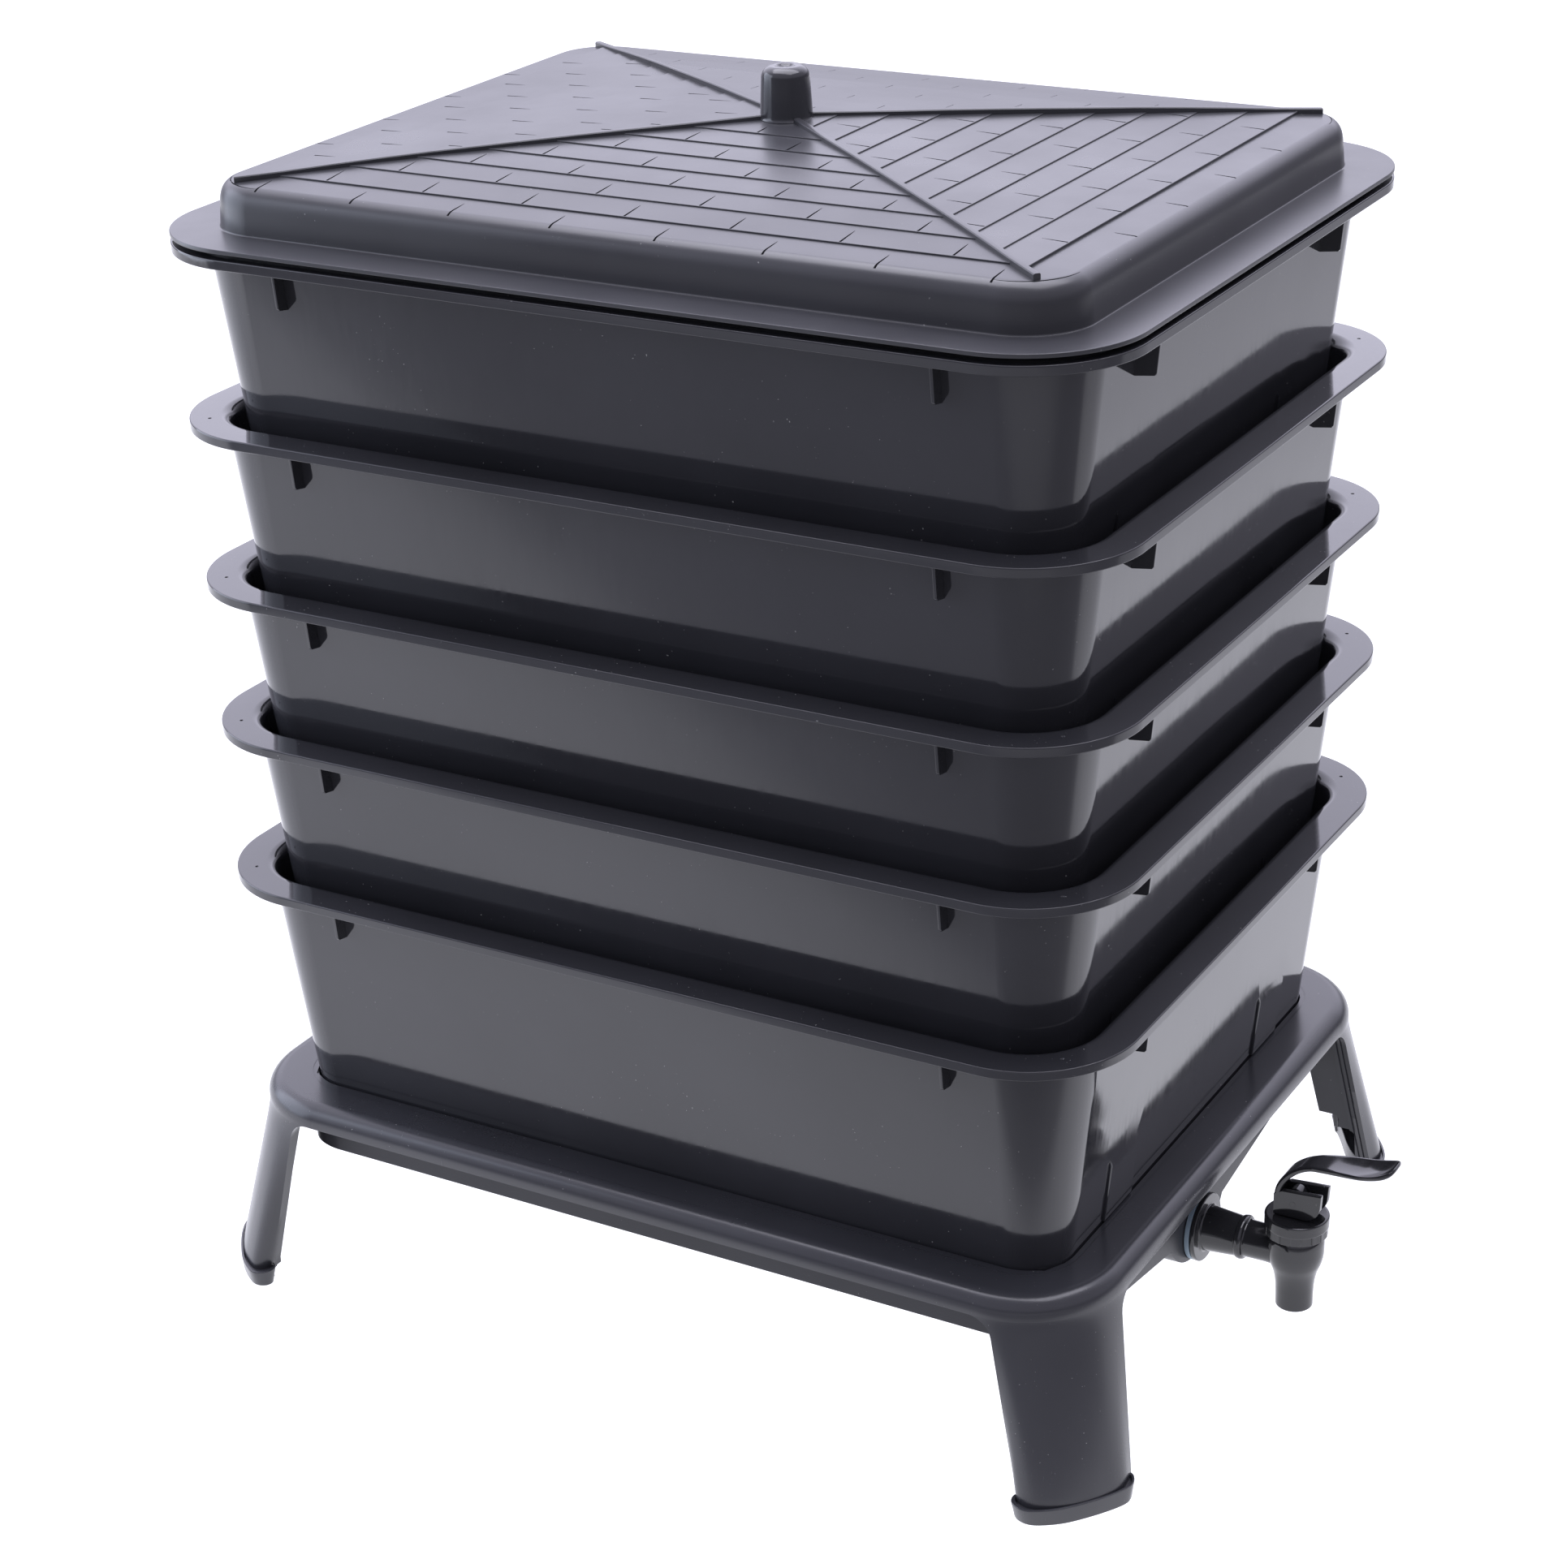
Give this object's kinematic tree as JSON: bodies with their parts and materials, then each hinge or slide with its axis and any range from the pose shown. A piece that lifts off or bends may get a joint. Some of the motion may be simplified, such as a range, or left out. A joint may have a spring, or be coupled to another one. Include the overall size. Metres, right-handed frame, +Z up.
{
  "type": "wormery",
  "caption": "Stacking plastic wormery: nested perforated worm trays under a hipped lid, on a footed base whose bowl collects liquid and drains through a press-down lever tap.",
  "frame": {"origin": "centre of the bounding box in plan, on the floor that the four feet stand on", "axes": "+Z up, X along the long side with the drain tap at the +X end, -Y towards the wide front face that the picture shows"},
  "size_m": [0.5218, 0.3764, 0.5446],
  "materials": {
    "base_plastic": "satin black polypropylene",
    "tray_plastic": "satin black polypropylene",
    "lid_plastic": "fine-grained satin black polypropylene",
    "tap_plastic": "glossy black",
    "seal_rubber": "matte blue-grey",
    "valve_silicone": "matte off-white"
  },
  "bodies": {
    "base": {"base_stand": "base_plastic", "tap_body": "tap_plastic", "tap_outer_washer": "seal_rubber", "tap_inner_washer": "seal_rubber", "tap_lock_nut": "tap_plastic", "tap_bonnet": "tap_plastic"},
    "tray_1": {"tray_1": "tray_plastic"},
    "tray_2": {"tray_2": "tray_plastic"},
    "tray_3": {"tray_3": "tray_plastic"},
    "tray_4": {"tray_4": "tray_plastic"},
    "tray_5": {"tray_5": "tray_plastic"},
    "lid": {"lid": "lid_plastic"},
    "valve_stem": {"tap_stem": "tap_plastic", "tap_valve_cup": "valve_silicone"},
    "lever": {"tap_lever": "tap_plastic", "tap_lever_pin": "tap_plastic"}
  },
  "joints": [
    {"name": "tray_1_lift", "type": "slide", "parent": "base", "child": "tray_1", "axis": [0, 0, 1], "range_m": [0, 0.16]},
    {"name": "tray_2_lift", "type": "slide", "parent": "tray_1", "child": "tray_2", "axis": [0, 0, 1], "range_m": [0, 0.16]},
    {"name": "tray_3_lift", "type": "slide", "parent": "tray_2", "child": "tray_3", "axis": [0, 0, 1], "range_m": [0, 0.16]},
    {"name": "tray_4_lift", "type": "slide", "parent": "tray_3", "child": "tray_4", "axis": [0, 0, 1], "range_m": [0, 0.16]},
    {"name": "tray_5_lift", "type": "slide", "parent": "tray_4", "child": "tray_5", "axis": [0, 0, 1], "range_m": [0, 0.16]},
    {"name": "lid_lift", "type": "slide", "parent": "tray_5", "child": "lid", "axis": [0, 0, 1], "range_m": [0, 0.25]},
    {"name": "stem_lift", "type": "slide", "parent": "base", "child": "valve_stem", "axis": [0, 0, 1], "range_m": [0, 0.0024]},
    {"name": "lever_press", "type": "hinge", "parent": "valve_stem", "child": "lever", "pos_m": [0.2118, 0, 0.0691], "axis": [0, 1, 0], "range_deg": [0, 30], "stiffness_Nm_per_rad": 0.25, "springref_deg": -17.19}
  ],
  "couplings": [
    {"joint": "stem_lift", "follows": "lever_press", "m_per_rad": 0.00458}
  ]
}
